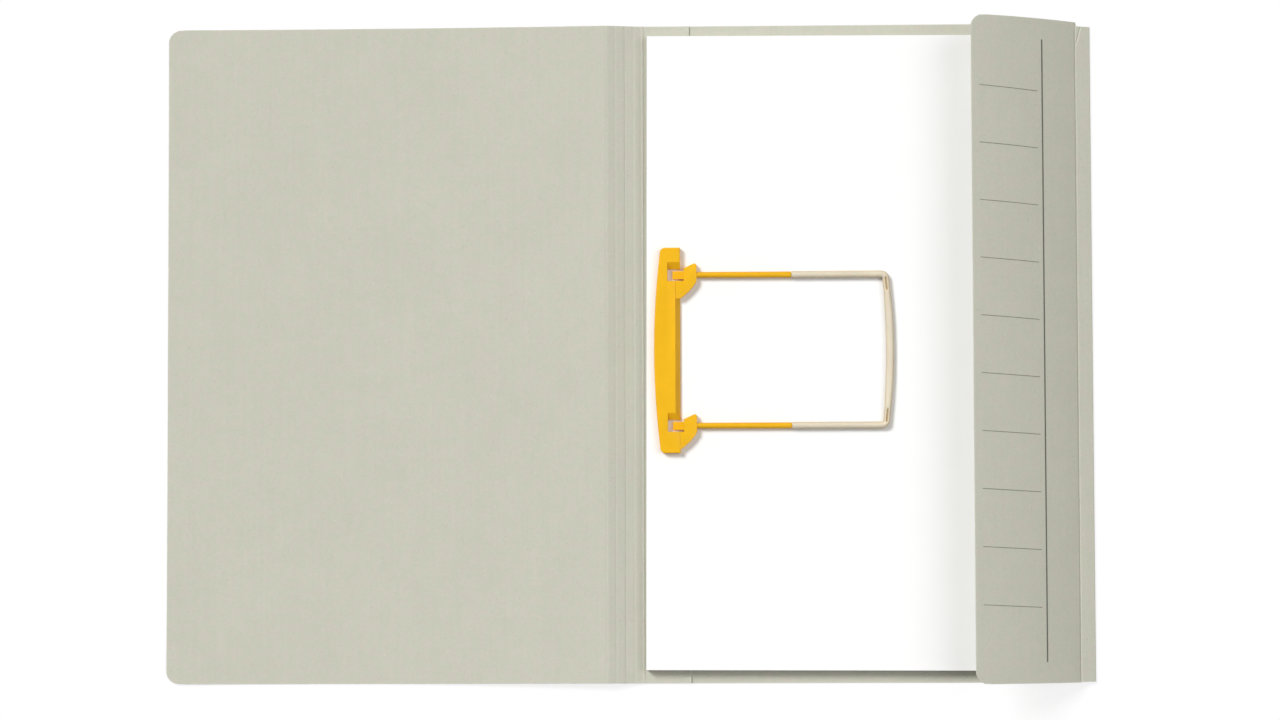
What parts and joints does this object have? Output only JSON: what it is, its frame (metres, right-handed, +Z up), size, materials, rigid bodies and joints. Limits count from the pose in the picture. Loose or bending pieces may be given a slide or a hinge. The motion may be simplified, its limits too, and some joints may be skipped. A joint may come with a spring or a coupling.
{
  "type": "flap folder",
  "caption": "Open board folder with a creased spine, a folded-up side flap, a stack of paper and a pin-and-tube filing clip.",
  "frame": {"origin": "middle of the base of the open folder, on the surface it lies on", "axes": "+X from the front cover across the spine to the flap, +Y towards the top of the sheets, +Z up from the table"},
  "size_m": [0.4924, 0.35, 0.0365],
  "materials": {
    "board": "uncoated speckled recycled board",
    "sheets": "plain white office paper",
    "yellow_plastic": "smooth moulded plastic",
    "cream_plastic": "smooth flexible plastic"
  },
  "bodies": {
    "back_board": {"back_cover": "board", "glue_strip": "board", "paper_stack": "sheets", "clip_bar": "yellow_plastic"},
    "spine": {"spine": "board"},
    "front_cover": {"front_cover": "board"},
    "flap": {"flap": "board"},
    "clip_bow": {"clip_bow": "cream_plastic"}
  },
  "joints": [
    {"name": "spine_fold", "type": "hinge", "parent": "back_board", "child": "spine", "pos_m": [0.00818, 0, 0.001], "axis": [0, 1, 0], "range_deg": [0, 80]},
    {"name": "cover_fold", "type": "hinge", "parent": "spine", "child": "front_cover", "pos_m": [-0.01118, 0, 0.006], "axis": [0, 1, 0], "range_deg": [0, 97]},
    {"name": "flap_fold", "type": "hinge", "parent": "back_board", "child": "flap", "pos_m": [0.24618, 0, 0.0005], "axis": [0, 1, 0], "range_deg": [-8, 144]},
    {"name": "clip_slide", "type": "slide", "parent": "back_board", "child": "clip_bow", "axis": [1, 0, 0], "range_m": [0, 0.045]}
  ],
  "couplings": [
    {"joint": "spine_fold", "follows": "cover_fold", "ratio": 0.7425}
  ]
}
